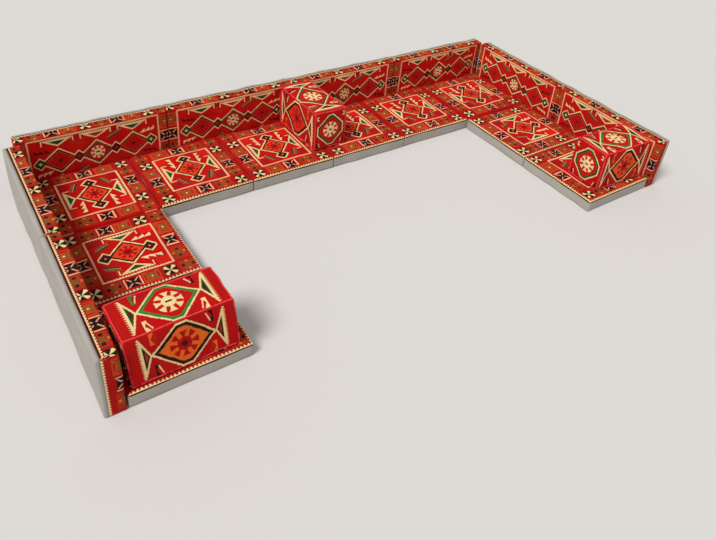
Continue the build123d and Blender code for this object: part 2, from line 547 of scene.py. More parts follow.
def snowflake(w, cloth, u, v, radius, colour, *tests):
    """Petals that grow broader outwards, on a heart with a dark slot. u and v are signed here."""
    away = w.node("SQRT", w.node("ADD", w.node("MULTIPLY", u, u), w.node("MULTIPLY", v, v)))
    turn = w.node("COSINE", w.node("MULTIPLY", w.node("ARCTAN2", v, u), PETALS))
    limit = w.node("MULTIPLY_ADD", away, -PETAL_FALL / radius, PETAL_LIMIT)
    petal = w.node("GREATER_THAN", turn, limit)
    star = w.node("MAXIMUM", petal, w.node("LESS_THAN", away, HEART * radius))
    cloth = lay(w, cloth, colour, star, w.node("LESS_THAN", away, radius), *tests)
    slot = patch(w, u, v, 0.0, 0.0, SLOT[0] * radius, SLOT[1] * radius)
    return lay(w, cloth, BLACK, slot, *tests)


print("petals reach in to", round((PETAL_LIMIT - 1) / PETAL_FALL, 2), "of a snowflake's radius")

# %% [markdown]
# ## Border, frame and edge
#
# Round the middle field runs a toothed cream line, then a band of squares in which four motifs
# take turns: a cream pinwheel, a rust patch with an olive cross and dots, a black square with
# rose hooks, and a brick patch with an olive flower. The panel ends in cream teeth and a maroon
# line where it meets the canvas. One place along the band gives both the number of the square
# and the place inside it, so four motifs serve the squares of all the cushions.

# %% Border, frame and edge
SQUARE = 0.042
PATCH = 0.048
MOTIFS = 4
SAILS = 4
SAIL_LIMIT = -0.30


def border(w, cloth, u, v, field, middle, rows, columns):
    """The squares round the field: rows along u, columns along v, each a pitch and a count."""
    past_u, past_v = past(w, u, v, field[0] + middle, field[1] + middle)
    outside = w.node("GREATER_THAN", w.node("MAXIMUM", past_u, past_v), -middle)
    in_row = w.node("COMPARE", past_v, 0, 1.3 * SQUARE)
    along = w.node("Mix", named={0: in_row, 2: v, 3: u})
    pitch = w.node("Mix", named={0: in_row, 2: columns[0], 3: rows[0]})
    start = w.node("Mix", named={0: in_row, 2: columns[1] / 2, 3: rows[1] / 2})
    y = w.node("Mix", named={0: in_row, 2: past_u, 3: past_v})
    step = w.node("ADD", w.node("DIVIDE", along, pitch), start)
    kind = w.node("FLOORED_MODULO", w.node("FLOOR", step), MOTIFS)
    share = w.node("FRACT", step)
    x = w.node("MULTIPLY", w.node("SUBTRACT", share, 0.5), pitch)
    a, b = w.node("ABSOLUTE", x), w.node("ABSOLUTE", y)
    most = w.node("MAXIMUM", a, b)
    square = lozenge(w, a, b, 1.7 * SQUARE, SQUARE, SQUARE)
    broad = patch(w, share, b, 0.5, 0.0, 0.47, PATCH)
    diagonal = w.node("ABSOLUTE", w.node("SUBTRACT", a, b))
    cloth = lay(w, cloth, BAND_RED, outside)
    pinwheel, cross, hooked, flower = (
        w.node("MULTIPLY", outside, w.node("COMPARE", kind, number, 0.4))
        for number in range(MOTIFS)
    )
    turn = w.node("COSINE", w.node("MULTIPLY", w.node("ARCTAN2", y, x), SAILS))
    sails = w.node("LESS_THAN", turn, SAIL_LIMIT)
    cloth = rings(w, cloth, square, ((0.0, BLACK),), pinwheel)
    cloth = rings(w, cloth, square, ((0.004, CREAM),), pinwheel, sails)
    cloth = lay(w, cloth, RUST, broad, cross)
    arms, near = w.node("LESS_THAN", diagonal, 0.007), w.node("LESS_THAN", most, 0.026)
    cloth = lay(w, cloth, OLIVE, arms, near, cross)
    cloth = lay(w, cloth, BLACK, patch(w, a, b, 0.033, 0.0, 0.009, 0.010), cross)
    cloth = lay(w, cloth, ORANGE, patch(w, a, b, 0.0, 0.034, 0.010, 0.007), cross)
    cloth = rings(w, cloth, square, ((0.002, BLACK),), hooked)
    arms, near = w.node("LESS_THAN", diagonal, 0.006), w.node("COMPARE", most, 0.023, 0.013)
    cloth = lay(w, cloth, ROSE, arms, near, hooked)
    cloth = lay(w, cloth, BEIGE, patch(w, a, b, 0.048, 0.0, 0.004, 0.043), hooked)
    cloth = lay(w, cloth, BRICK, broad, flower)
    leaves, near = w.node("LESS_THAN", diagonal, 0.011), w.node("COMPARE", most, 0.021, 0.010)
    cloth = lay(w, cloth, OLIVE, leaves, near, flower)
    outline = w.node("COMPARE", most, 0.039, 0.004)
    cloth = lay(w, cloth, CRIMSON, outline, w.node("GREATER_THAN", diagonal, 0.014), flower)
    return lay(w, cloth, CREAM, w.node("LESS_THAN", most, 0.005), flower)


def frame_line(w, cloth, u, v, field, pitch):
    """The line round the field: beige across its ends, thin, cream and toothed along its sides."""
    past_u, past_v = past(w, u, v, *field)
    tooth = w.node("MULTIPLY", saw(w, u, pitch, TOOTH), -0.5)
    half = w.node("SUBTRACT", 0.004, tooth)
    teeth = w.node("COMPARE", past_v, tooth, half)
    cloth = lay(w, cloth, CREAM, teeth, w.node("LESS_THAN", past_u, 0))
    line = w.node("COMPARE", past_u, 0, 0.006)
    return lay(w, cloth, BEIGE, line, w.node("LESS_THAN", past_v, 0.004))


EDGE_TOOTH = 0.013
TOOTH_FOOT = 0.004
TOOTH_GROUND = 0.016


def trim(w, cloth, u, v, edge, maroon, pitch):
    """The panel's own edge: a maroon line, and cream teeth inside it on the sides that show."""
    past_u, past_v = past(w, u, v, *edge)
    off = w.node("MAXIMUM", past_u, past_v)
    along = w.node("Mix", named={0: w.node("GREATER_THAN", past_u, past_v), 2: u, 3: v})
    start = w.node("SUBTRACT", -maroon - TOOTH_FOOT, saw(w, along, pitch, EDGE_TOOTH))
    shown = w.node("Attribute", attribute_type="GEOMETRY", attribute_name="toothed", out=2)
    cloth = lay(w, cloth, DEEP_RED, shown, w.node("GREATER_THAN", off, -maroon - TOOTH_GROUND))
    cloth = lay(w, cloth, CREAM, shown, w.node("GREATER_THAN", off, start))
    return lay(w, cloth, MAROON, shown, w.node("GREATER_THAN", off, -maroon))


print("a square of the border is", round(2000 * SQUARE), "mm wide")

# %% [markdown]
# ## Flat-woven wool
#
# A kilim is weft-faced: the dyed wool covers the warp and lies in fine ribs. Real ribs are about
# 2 mm apart, far too fine for a picture in which a pixel is 5 to 8 mm, so they are drawn 6 mm
# apart and shallow. Hand-dyed wool also wanders in depth from one batch to the next, and it
# fades a little where people sit and lean. Wool is rough and hardly shines: its specular level
# is far below a plastic's, with a faint sheen from its loose fibres. One function finishes all
# three patterns, so they look woven on the same loom.

# %% Flat-woven wool
RIB = 0.006
RIB_HEIGHT = 0.0012
FADING = 0.05


def wave_scale(pitch):
    """The Scale that makes the Wave Texture's bands lie this far apart."""
    return math.pi / 10 / pitch


def wool(w, cloth):
    """Finishes a pattern as wool: the dye's drift, the fading, the ribs and the shader."""
    place = w.node("UVMap", uv_map="cloth")
    room = w.node("TexCoord", out=3)
    drift = w.node("TexNoise", named={"Vector": room, "Scale": 7.0, "Detail": 3.0})
    speckle = w.node("TexNoise", named={"Vector": room, "Scale": 190.0, "Detail": 2.0})
    depth = w.node("MULTIPLY_ADD", drift, 0.50, 0.52)
    depth = w.node("MULTIPLY_ADD", speckle, 0.46, depth)
    named = {0: 1.0, 6: cloth, 7: depth}
    cloth = w.node("Mix", data_type="RGBA", blend_type="MULTIPLY", named=named, out=2)
    worn = w.node("TexNoise", named={"Vector": room, "Scale": 3.1, "Detail": 1.0})
    worn = w.node("SMOOTH_MIN", w.node("MULTIPLY", worn, worn), 0.4, 0.1)
    cloth = lay(w, cloth, ROSE, w.node("MULTIPLY", worn, FADING))
    named = {"Vector": place, "Scale": wave_scale(RIB), "Distortion": 0.6}
    ribs = w.node("TexWave", named=named, bands_direction="Y")
    height = w.node("MULTIPLY_ADD", speckle, 1.2, ribs)
    bump = w.node("Bump", named={"Strength": 0.35, "Distance": RIB_HEIGHT, "Height": height})
    named = {
        "Base Color": cloth, "Roughness": 0.9, "IOR": 1.45, "Normal": bump, "Sheen Weight": 0.02,
        "Sheen Roughness": 0.5, "Specular IOR Level": 0.06,
    }
    w.node("OutputMaterial", w.node("BsdfPrincipled", named=named))
    return w.material


print("ribs to a metre of cloth:", round(1 / RIB))

# %% [markdown]
# ## How far the panels reach
#
# A woven panel is larger than the face that it covers, because it folds over the rim and ends at
# the seam. The teeth along its edge start there, so its flat size has to be known before it is
# drawn.

# %% How far the panels reach
SEAT_FIELD, BACK_FIELD = (0.215, 0.215), (0.460, 0.196)


def fold_to(size, crown, seam_height):
    """How far below the flat upper face the seam lies, before the cover is filled."""
    return (size[2] - 2 * EASE - crown) - (seam_height - EASE)


SEAT_SEAM = fold_to(SEAT_SIZE, SEAT_CROWN, SEAT_SEAM_HEIGHT)
BACK_SEAM = fold_to(BACK_SIZE, BACK_CROWN, BACK_SEAM_DEPTH)


def edge_of(size, seam):
    """How far the unrolled panel reaches from its middle, along its length and its width."""
    fold = seam - ROUNDING * (2 - math.pi / 2)
    return size[0] / 2 - EASE + fold, size[1] / 2 - EASE + fold


SEAT_EDGE = edge_of(SEAT_SIZE, SEAT_SEAM)
BACK_EDGE = edge_of(BACK_SIZE, BACK_SEAM)
for kind, edge in (("a seat's", SEAT_EDGE), ("a back's", BACK_EDGE)):
    print(kind, "woven panel is", [round(2000 * reach) for reach in edge], "mm, laid flat")

# %% [markdown]
# ## The seats' panel
#
# One large lozenge between two small ones, whose dark borders run into each other. Long
# triangles point at it from two sides. In the corners stand combs, cream ones towards +u, and
# dark green leaves with a pale vein towards -u.

# %% The seats' panel


def seat_kilim():
    w = Weave("flat_woven_wool_seat")
    u, v = cloth_place(w)
    a, b = w.node("ABSOLUTE", u), w.node("ABSOLUTE", v)
    ahead, behind = w.node("GREATER_THAN", u, 0), w.node("LESS_THAN", u, 0)
    corner = patch(w, a, b, 0.167, 0.170, 0.042, 0.034)
    cloth = lay(w, RED, SCARLET, corner, ahead)
    cloth = lay(w, cloth, CRIMSON, corner, behind)
    cloth = blade(w, cloth, a, b, 0.188, 0.124, 0.104, (0.020, 0.008), ((0.0125, DARK_GREEN),))
    cloth = lay(w, cloth, CREAM, patch(w, a, b, 0.107, 0.169, 0.005, 0.021))
    rise = w.node("SUBTRACT", b, w.node("MULTIPLY_ADD", a, 0.06, 0.092))
    teeth = slanted_teeth(w, a, 0.052, 0.044, 0.027)
    comb = w.node("GREATER_THAN", rise, -0.007)
    long_enough = w.node("COMPARE", a, 0.118, 0.065)
    cloth = lay(w, cloth, CREAM, comb, w.node("LESS_THAN", rise, teeth), long_enough, ahead)
    slant = w.node("ADD", rise, w.node("MULTIPLY", a, 0.5))
    strokes = (0.060, 0.009, LEAF), (0.089, 0.006, OLIVE), (0.073, 0.0025, LEAF_LIGHT)
    for at, half, colour in strokes:
        stroke = w.node("COMPARE", slant, at, half)
        cloth = lay(w, cloth, colour, stroke, w.node("COMPARE", a, 0.130, 0.045), behind)
    large = lozenge(w, a, b, 0.134, steep=1.085)
    beside = w.node("ABSOLUTE", w.node("SUBTRACT", a, 0.139))
    small = w.node("MINIMUM", lozenge(w, beside, b, 0.058), w.node("SUBTRACT", 0.187, a))
    chain = w.node("MAXIMUM", large, small)
    cloth = rings(w, cloth, chain, ((0.0, CREAM), (LINE, BLACK)))
    toothed = w.node("SUBTRACT", large, saw(w, a, 0.014, 0.005))
    cloth = rings(w, cloth, toothed, ((0.020, ORANGE_RED),))
    cloth = snowflake(w, cloth, u, v, 0.058, CRIMSON)
    outer = w.node("GREATER_THAN", a, 0.108)
    cloth = rings(w, cloth, small, ((0.019, MAROON), (0.036, ROSE)), outer)
    cloth = border(w, cloth, u, v, SEAT_FIELD, 0.062, (0.114, 6), (0.140, 5))
    cloth = frame_line(w, cloth, u, v, SEAT_FIELD, 0.018)
    cloth = trim(w, cloth, u, v, SEAT_EDGE, 0.010, 0.022)
    return wool(w, cloth)


SEAT_WOOL = seat_kilim()
print(SEAT_WOOL.name, len(SEAT_WOOL.node_tree.nodes), "nodes")

# %% [markdown]
# ## The backs' panel
#
# A chain of seven lozenges, three large and four small, with triangles over and under the large
# ones. The middle lozenge holds a cream snowflake, and the two small ones at the ends are green.
# The large lozenges repeat, so the distance along the back is wrapped to one link of the chain,
# and each motif is written once. Leaves and combs stand in the gaps, and which of the two
# diagonals they lie on decides their colour.

# %% The backs' panel
LINK = 0.132


def back_kilim():
    w = Weave("flat_woven_wool_back")
    u, v = cloth_place(w)
    a, b = w.node("ABSOLUTE", u), w.node("ABSOLUTE", v)
    from_large = w.node("WRAP", u, LINK, -LINK)
    at_large = w.node("ABSOLUTE", from_large)
    at_small = w.node("SUBTRACT", LINK, at_large)
    in_chain = w.node("LESS_THAN", a, 3.0 * LINK)
    middle = w.node("LESS_THAN", a, LINK)
    same_way = w.node("GREATER_THAN", w.node("MULTIPLY", u, v), 0)
    other_way = w.node("SUBTRACT", 1, same_way)
    cloth = lay(w, RED, CRIMSON, patch(w, at_small, b, 0.0, 0.172, 0.022, 0.020), in_chain)
    kernel = lay(w, DARK_GREEN, RUST, middle)
    layers = ((0.0115, kernel),)
    cloth = blade(w, cloth, at_large, b, 0.174, 0.118, 0.106, (0.016, 0.008), layers, in_chain)
    cloth = lay(w, cloth, CREAM, patch(w, at_small, b, 0.025, 0.160, 0.0045, 0.020), in_chain)
    aside = w.node("WRAP", w.node("SUBTRACT", a, LINK), LINK, -LINK)
    slant = w.node("MULTIPLY_ADD", aside, -0.40, b)
    leaf = w.node("COMPARE", aside, 0.0, 0.050)
    leaf = w.node("MULTIPLY", leaf, w.node("LESS_THAN", a, 2 * LINK))
    strokes = (0.112, 0.007, LEAF), (0.129, 0.004, OLIVE), (0.121, 0.0022, LEAF_LIGHT)
    for at, half, colour in strokes:
        cloth = lay(w, cloth, colour, w.node("COMPARE", slant, at, half), leaf, same_way)
    for at in (0.110, 0.126):
        cloth = lay(w, cloth, RUST, w.node("COMPARE", slant, at, 0.004), leaf, other_way)
    rise = w.node("SUBTRACT", b, w.node("MULTIPLY_ADD", a, 0.12, 0.040))
    teeth = slanted_teeth(w, a, 0.320, 0.035, 0.022)
    comb = w.node("GREATER_THAN", rise, -0.006)
    comb = w.node("MULTIPLY", comb, w.node("LESS_THAN", rise, teeth))
    comb = w.node("MULTIPLY", comb, w.node("COMPARE", a, 0.373, 0.053))
    cloth = lay(w, cloth, CREAM, comb, same_way)
    cloth = lay(w, cloth, MAROON, comb, other_way)
    large = lozenge(w, at_large, b, 0.133, steep=1.26)
    small = lozenge(w, at_small, b, 0.054)
    small = w.node("MINIMUM", small, w.node("SUBTRACT", 3 * LINK + 0.045, a))
    chain = w.node("MAXIMUM", w.node("MINIMUM", large, w.node("SUBTRACT", 3 * LINK, a)), small)
    within = w.node("LESS_THAN", a, 3.6 * LINK)
    cloth = rings(w, cloth, chain, ((0.0, CREAM), (0.009, BLACK)), within)
    cloth = rings(w, cloth, large, ((0.019, BRICK), (0.024, RED)), in_chain)
    cloth = snowflake(w, cloth, from_large, v, 0.050, CRIMSON, in_chain)
    cloth = rings(w, cloth, large, ((0.009, DARK_GREEN), (0.019, CRIMSON)), middle)
    cloth = snowflake(w, cloth, u, v, 0.052, CREAM, middle)
    near_small = w.node("LESS_THAN", at_small, 0.030)
    cloth = rings(w, cloth, small, ((0.015, MAROON), (0.025, CRIMSON)), near_small, in_chain)
    ends = w.node("GREATER_THAN", a, 2.75 * LINK)
    layers = (0.009, BLACK), (0.014, DARK_GREEN), (0.027, CREAM)
    cloth = rings(w, cloth, small, layers, ends, near_small)
    cloth = border(w, cloth, u, v, BACK_FIELD, 0.052, (0.114, 10), (0.126, 5))
    cloth = frame_line(w, cloth, u, v, BACK_FIELD, 0.016)
    cloth = trim(w, cloth, u, v, BACK_EDGE, 0.011, 0.020)
    return wool(w, cloth)


BACK_WOOL = back_kilim()
print(BACK_WOOL.name, len(BACK_WOOL.node_tree.nodes), "nodes")

# %% [markdown]
# ## The bolsters' cover
#
# The map holds three kinds of faces, a metre apart. Each long face has a medallion between two
# blades, green with a snowflake on the upper and lower ones and dark round an orange field on
# the sides. Each end has a green medallion with its corners cut, and small flags stand beside
# every medallion. The three bolsters were dyed in different lots: an attribute on the cloth,
# dye_lot, turns green to leaf green and orange to scarlet, so that one material serves them all.

# %% The bolsters' cover
FLAG_TIP, FLAG_FOOT = 0.020, 0.008
BAR_SLANT = 0.35


def flags(w, cloth, a, b, spine, middle, half, colours, *tests):
    """Two flags on a spine that runs along b, pointing at the medallion, and a bar beside them."""
    away = w.node("ABSOLUTE", w.node("SUBTRACT", b, middle))
    inward = w.node("SUBTRACT", spine, a)
    flag = w.node("MULTIPLY_ADD", away, FLAG_TIP / half, FLAG_FOOT)
    shape = w.node("MULTIPLY", w.node("GREATER_THAN", inward, 0), w.node("LESS_THAN", inward, flag))
    cloth = lay(w, cloth, colours[0], shape, w.node("LESS_THAN", away, half), *tests)
    leaning = w.node("MULTIPLY_ADD", b, -BAR_SLANT, inward)
    bar = w.node("COMPARE", leaning, -0.004 - BAR_SLANT * (middle - 0.097), 0.0035)
    return lay(w, cloth, colours[1], bar, w.node("LESS_THAN", away, 0.8 * half), *tests)


def arm_kilim():
    w = Weave("flat_woven_wool_bolster")
    u, far = cloth_place(w)
    at_end = w.node("GREATER_THAN", far, 1.5 * FACE_APART)
    at_side = w.node("COMPARE", far, FACE_APART, 0.5 * FACE_APART)
    long_face = w.node("SUBTRACT", 1, at_end)
    at_top = w.node("SUBTRACT", long_face, at_side)
    squeeze = w.node("Mix", named={0: at_side, 2: 1.0, 3: ARM_WIDTH / ARM_HEIGHT})
    v = w.node("MULTIPLY", w.node("WRAP", far, 0.5 * FACE_APART, -0.5 * FACE_APART), squeeze)
    a, b = w.node("ABSOLUTE", u), w.node("ABSOLUTE", v)
    upper, ahead = w.node("GREATER_THAN", v, 0), w.node("GREATER_THAN", u, 0)
    same_way = w.node("COMPARE", upper, ahead, 0.5)
    other_way = w.node("SUBTRACT", 1, same_way)
    lower = w.node("SUBTRACT", 1, upper)
    heart, kernel = lay(w, DARK_GREEN, BLACK, at_side), lay(w, MAROON, RUST, at_side)
    layers = (0.010, heart), (0.018, kernel)
    cloth = blade(w, BRIGHT_RED, b, a, 0.226, 0.170, 0.132, (0.016, 0.012), layers, long_face)
    for colours, where in (
        ((CREAM, CREAM), (at_top, lower)),
        ((GREEN, CREAM), (at_top, upper, other_way)),
        ((BLACK, CREAM), (at_top, same_way, upper)),
        ((BLACK, CREAM), (at_side, same_way)),
        ((ORANGE, RUST), (at_side, other_way)),
    ):
        cloth = flags(w, cloth, a, b, 0.172, 0.097, 0.036, colours, *where)
    cloth = flags(w, cloth, a, b, 0.132, 0.122, 0.018, (CREAM, BRIGHT_RED), at_end, upper)
    cloth = flags(w, cloth, a, b, 0.132, 0.122, 0.018, (BLACK, CREAM), at_end, lower)
    reach = w.node("Mix", named={0: at_end, 2: 0.174, 3: 0.156})
    steep = w.node("Mix", named={0: at_end, 2: 1.08, 3: 1.0})
    cut_u = w.node("Mix", named={0: at_end, 2: 0.200, 3: 0.118})
    medallion = lozenge(w, a, w.node("MULTIPLY", b, steep), reach)
    medallion = w.node("MINIMUM", medallion, w.node("SUBTRACT", cut_u, a))
    medallion = w.node("MINIMUM", medallion, w.node("SUBTRACT", 0.133, b))
    lot = w.node("Attribute", attribute_type="GEOMETRY", attribute_name="dye_lot", out=2)
    band = lay(w, lay(w, GREEN, LEAF, lot), BLACK, at_side)
    # On the upright ends the band is darker green: painted shade over the same green as on the top
    band = lay(w, band, DARK_GREEN, at_end)
    field = lay(w, RED, lay(w, ORANGE, SCARLET, lot), at_side)
    slope = w.node("SUBTRACT", a, b)
    toothed = w.node("ADD", medallion, saw(w, slope, 0.013, 0.004))
    cloth = lay(w, cloth, CREAM, w.node("GREATER_THAN", toothed, 0))
    cloth = rings(w, cloth, medallion, ((0.008, band),))
    bite = w.node("MULTIPLY", saw(w, slope, 0.014, 0.007), at_side)
    cloth = rings(w, cloth, w.node("SUBTRACT", medallion, bite), ((0.024, field),))
    cloth = snowflake(w, cloth, u, v, 0.075, CREAM, at_top)
    cloth = snowflake(w, cloth, u, v, 0.078, BRIGHT_RED, at_side)
    cloth = rings(w, cloth, lozenge(w, a, b, 0.036), ((0.0, CRIMSON), (0.010, MAROON)), at_side)
    cloth = snowflake(w, cloth, u, v, 0.066, CREAM, at_end)
    return wool(w, cloth)


ARM_WOOL = arm_kilim()
print(ARM_WOOL.name, len(ARM_WOOL.node_tree.nodes), "nodes")

# %% [markdown]
# ## Canvas, seam and foam
#
# The canvas is undyed grey cotton in a plain square weave, unevenly soiled, and a row of
# stitches runs just below the seam. Its threads are about half a millimetre apart on the real
# cloth, and they are drawn 4 mm apart, as coarse as they need to be to show. The stitches are 9
# mm long and only drawn, because a thread of their size would be thinner than a pixel. The
# bolsters' seams are the same scarlet wool, folded outwards, with a paler pink mixed in as a
# painted highlight where the light catches the ridge.
# The foam is cut from a block, and the cut leaves its cells open.

# %% Canvas, seam and foam
THREAD = 0.004
STITCH = 0.009
STITCHED_SHARE = 0.7
BELOW_SEAM = 0.006


def canvas():
    """The plain cloth of bases and rears, with the stitches that join it to the woven panel."""
    w = Weave("cotton_canvas")
    room = w.node("TexCoord", out=3)
    place = w.node("UVMap", uv_map="cloth")
    soil = w.node("TexNoise", named={"Vector": room, "Scale": 5.0, "Detail": 4.0})
    grain = w.node("TexNoise", named={"Vector": room, "Scale": 260.0, "Detail": 2.0})
    named = {"Vector": place, "Scale": wave_scale(THREAD), "Distortion": 0.4}
    warp, weft = (w.node("TexWave", named=named, bands_direction=way) for way in ("X", "Y"))
    depth = w.node("MULTIPLY_ADD", soil, 0.22, 0.76)
    depth = w.node("MULTIPLY_ADD", grain, 0.14, depth)
    depth = w.node("MULTIPLY_ADD", w.node("MULTIPLY", warp, weft), 0.10, depth)
    named = {0: 1.0, 6: CANVAS_GREY, 7: depth}
    colour = w.node("Mix", data_type="RGBA", blend_type="MULTIPLY", named=named, out=2)
    below = w.node("Attribute", attribute_type="GEOMETRY", attribute_name="below_seam", out=2)
    across = w.node("SeparateXYZ", place)
    along = w.node("ADD", across, across.node.outputs[1])
    row = w.node("COMPARE", below, BELOW_SEAM, 0.0012)
    share = w.node("FRACT", w.node("DIVIDE", along, STITCH))
    stitch = w.node("MULTIPLY", row, w.node("LESS_THAN", share, STITCHED_SHARE))
    colour = lay(w, colour, THREAD_GREY, stitch)
    threads = w.node("MULTIPLY", w.node("ADD", warp, weft), 0.5)
    relief = w.node("ADD", threads, w.node("MULTIPLY", stitch, 2.0))
    bump = w.node("Bump", named={"Strength": 0.3, "Distance": 0.0010, "Height": relief})
    named = {"Base Color": colour, "Roughness": 0.85, "Normal": bump, "Specular IOR Level": 0.3}
    w.node("OutputMaterial", w.node("BsdfPrincipled", named=named))
    return w.material


def folded_wool():
    """The bolsters' seams, where the cover's edges are folded together and sewn from inside; their
    paler pink is a painted highlight.
    """
    w = Weave("folded_wool_seam_painted_highlight")
    room = w.node("TexCoord", out=3)
    grain = w.node("TexNoise", named={"Vector": room, "Scale": 90.0, "Detail": 2.0})
    # The paler pink mixed into the scarlet wool by noise is a painted highlight along the seam
    # ridge
    colour = lay(w, SCARLET, SEAM_HIGHLIGHT_PINK, grain)
    bump = w.node("Bump", named={"Strength": 0.5, "Distance": 0.0010, "Height": grain})
    named = {"Base Color": colour, "Roughness": 0.9, "Normal": bump, "Specular IOR Level": 0.25}
    w.node("OutputMaterial", w.node("BsdfPrincipled", named=named))
    return w.material


def cut_foam():
    """The cushions' filling, with cells 2.5 mm wide."""
    w = Weave("cut_polyurethane_foam")
    cells = w.node("TexVoronoi", named={"Vector": w.node("TexCoord", out=3), "Scale": 400.0})
    bump = w.node("Bump", named={"Strength": 0.3, "Distance": 0.0005, "Height": cells})
    colour = lay(w, FOAM_PALE, FOAM_CELL, cells)
    named = {"Base Color": colour, "Roughness": 0.95, "Normal": bump}
    w.node("OutputMaterial", w.node("BsdfPrincipled", named=named))
    return w.material


CANVAS, FOLDED, FOAM = canvas(), folded_wool(), cut_foam()
for made in (CANVAS, FOLDED, FOAM):
    print(made.name, len(made.node_tree.nodes), "nodes")

# %% [markdown]
# ## Sewing the cushions
#
# No two cushions of a set are alike after some use. So a template is copied, turned to its place
# and given shallow dents of its own, in waves that are long beside the weave. Where neighbours
# press against each other the dents are flattened, or dark gaps would open between them. The
# woven panel and the canvas are two pieces of cloth, each with a thickness, that meet at the
# seam. A block of foam, smaller by its fibre wrap, fills them.

# %% Sewing the cushions
CLOTH_THICKNESS = 0.0014
DENT = 0.0018
WAVES, WAVE_LENGTHS, WAVES_REACH = 9, (0.09, 0.30), 0.4
PRESSED_TOGETHER = 0.25
WRAP, FOAM_EDGE = 0.012, 0.010


def dents(points, seed, depth):
    """A smooth random height over the cushion, made of long waves in random directions."""
    draw = np.random.default_rng(seed)
    height = np.zeros(len(points))
    for _ in range(WAVES):
        way = draw.normal(size=3)
        way /= np.linalg.norm(way)
        length = draw.uniform(*WAVE_LENGTHS)
        phase = points @ way * (2 * math.pi / length) + draw.uniform(0, 2 * math.pi)
        height += np.sin(phase) * length
    return height * depth / WAVES_REACH


def sew(
    pattern, part, node, body, place, size, seed, material,
    teeth=(), dent=DENT, pressed=None, mirrored=False,
):
    """One piece of cloth of a cushion.

    teeth are the sides of the panel that have them. pressed is the axis along which the cushion's
    neighbours press on it. A mirrored piece has its pattern the other way round.
    """
    mesh = pattern.copy()
    mesh.name = f"{node}_cloth"
    push = normals(mesh) * dents(read(mesh), seed, dent)[:, None]
    if pressed is not None:
        push[:, pressed] *= PRESSED_TOGETHER
    write(mesh, keep_in(read(mesh) + push, size))
    net = bmesh.new()
    net.from_mesh(mesh)
    layer = net.faces.layers.int["part"]
    bmesh.ops.delete(net, geom=[f for f in net.faces if f[layer] != part], context="FACES")
    cloth_map = net.loops.layers.uv["cloth"]
    toothed = net.faces.layers.float.new("toothed")
    for face in net.faces:
        face.smooth = True
        at = sum((loop[cloth_map].uv for loop in face.loops), Vector((0, 0))) / len(face.loops)
        over = at.x / size[0], at.y / size[1]
        axis = int(abs(over[1]) > abs(over[0]))
        face[toothed] = float((axis, over[axis] > 0) in teeth)
        for loop in face.loops:
            loop[cloth_map].uv.x *= -1 if mirrored else 1
    bmesh.ops.transform(net, matrix=place, verts=net.verts)
    net.to_mesh(mesh)
    net.free()
    piece = put(mesh.name, mesh)
    mesh.materials.clear()
    mesh.materials.append(material)
    wall = piece.modifiers.new("Cloth thickness", "SOLIDIFY")
    wall.thickness = CLOTH_THICKNESS
    wall.offset = -1
    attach(piece, body)
    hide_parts(node)
    return piece


def stuff(body, place, size, wrap=WRAP):
    """The cushion's block of foam, smaller than its cover by the fibre wrap, its edges softened."""
    net = bmesh.new()
    bmesh.ops.create_cube(net, size=1)
    bmesh.ops.scale(net, vec=[s - 2 * wrap for s in size], verts=net.verts)
    bmesh.ops.translate(net, vec=(0, 0, size[2] / 2 - wrap / 4), verts=net.verts)
    bmesh.ops.bevel(
        net, geom=net.edges[:], offset=FOAM_EDGE, offset_type="OFFSET", segments=BEVEL_SEGMENTS,
        profile=0.5, affect="EDGES", material=-1,
    )
    bmesh.ops.transform(net, matrix=place, verts=net.verts)
    mesh = bpy.data.meshes.new(f"{body}_foam_block")
    net.to_mesh(mesh)
    net.free()
    mesh.materials.append(FOAM)
    piece = put(mesh.name, mesh)
    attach(piece, body)
    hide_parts(f"{body}_foam")


def dress(name, parts, pattern, place, size, seed, woven, teeth, pressed, mirrored=False):
    """A cushion's woven panel, its canvas with the same dents, and its foam. Returns the panel."""
    cloths = [
        sew(
            pattern, part, f"{name}_{kind}", name, place, size, seed, material,
            teeth, pressed=pressed, mirrored=mirrored,
        )
        for part, (kind, slot, material) in enumerate(
            zip(parts, ("kilim_weave", "canvas"), (woven, CANVAS))
        )
    ]
    stuff(name, place, size)
    return cloths[0]


def standing(face, along, origin):
    """The place of a back: which way its woven side faces and which way its length runs."""
    turned = Matrix((along, Vector((0, 0, 1)), face)).transposed()
    return Matrix.Translation(origin) @ turned.to_4x4()


def foot(low, high):
    """The middle of a box's lower face."""
    return Vector(((low.x + high.x) / 2, (low.y + high.y) / 2, low.z))


def lying(turn, origin):
    """The place of a cushion that lies flat, turned by some degrees."""
    return Matrix.Translation(origin) @ Matrix.Rotation(math.radians(turn), 4, "Z")


print("a cushion turned by 90 degrees has its X along", lying(90, Vector()).to_3x3().col[0][:])

# %% The patterns of seats and backs
SEAT = template("seat_template", SEAT_SIZE, ROUNDING, SEAT_CROWN, SEAT_SEAM)
BACK = template("back_template", BACK_SIZE, ROUNDING, BACK_CROWN, BACK_SEAM)
SIDE_BACK = template("side_back_template", SIDE_BACK_SIZE, ROUNDING, BACK_CROWN, BACK_SEAM)
for pattern in (SEAT, BACK, SIDE_BACK):
    print(pattern.name, len(pattern.vertices), "vertices")

# %% [markdown]
# ## Seats
#
# Ten square seats with one panel, laid down any way round. A seat's turn says where the cream
# combs of its panel point: at 0 to the right, and at 90 to the row of backs. Teeth show along the
# side that faces the middle of the room, and along the near side of the seats at the sides. The
# two corner seats have no such side.

# %% Seats
SEATS = {
    "row_seat_1": -90, "row_seat_2": 90, "row_seat_3": 90,
    "row_seat_4": 90, "row_seat_5": 90, "row_seat_6": 90,
    "left_seat_1": 0, "left_seat_2": 0, "right_seat_1": 0, "right_seat_2": 0,
}
SEAT_SEED, BACK_SEED, ARM_SEED, RIDGE_SEED = 10, 40, 70, 90
seat_tops = {}


def free_edges(name):
    """The sides of a seat that have teeth: an axis of its panel, and whether it is the far end."""
    if name.startswith("row"):
        return [] if name in ("row_seat_1", "row_seat_6") else [(0, False)]
    return [(0, name.startswith("left")), (1, False)]


